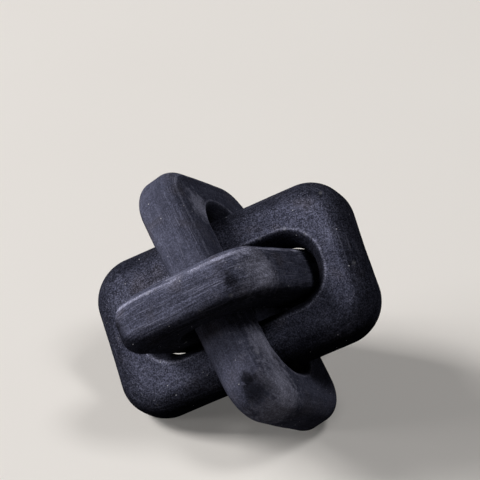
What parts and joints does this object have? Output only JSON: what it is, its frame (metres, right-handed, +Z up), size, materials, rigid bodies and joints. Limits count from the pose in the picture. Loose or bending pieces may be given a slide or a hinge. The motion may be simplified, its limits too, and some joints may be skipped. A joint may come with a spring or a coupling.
{
  "type": "knot sculpture",
  "caption": "Table-top knot sculpture of rounded black marble links, each carved loose and threaded through the next one's opening.",
  "frame": {"origin": "on the surface that the knot stands on, under the middle of its bounding box", "axes": "+Z up, -Y towards the viewer, who sees the broad link run left to right behind the other two, +X to the viewer's right"},
  "size_m": [0.1522, 0.1532, 0.1206],
  "materials": {
    "black_marble": "matte honed, with fine pale specks and tool marks"
  },
  "bodies": {
    "broad_link": {"broad_link": "black_marble"},
    "upright_link": {"upright_link": "black_marble"},
    "front_link": {"front_link": "black_marble"}
  },
  "joints": [
    {"name": "upright_rock", "type": "hinge", "parent": "broad_link", "child": "upright_link", "pos_m": [0, 0, 0.0601], "axis": [-0.4799, -0.6606, 0.5773], "range_deg": [-16.3, 0]},
    {"name": "front_rock", "type": "hinge", "parent": "broad_link", "child": "front_link", "pos_m": [0, 0, 0.0601], "axis": [0.812, -0.0853, 0.5773], "range_deg": [-16.3, 0]}
  ]
}
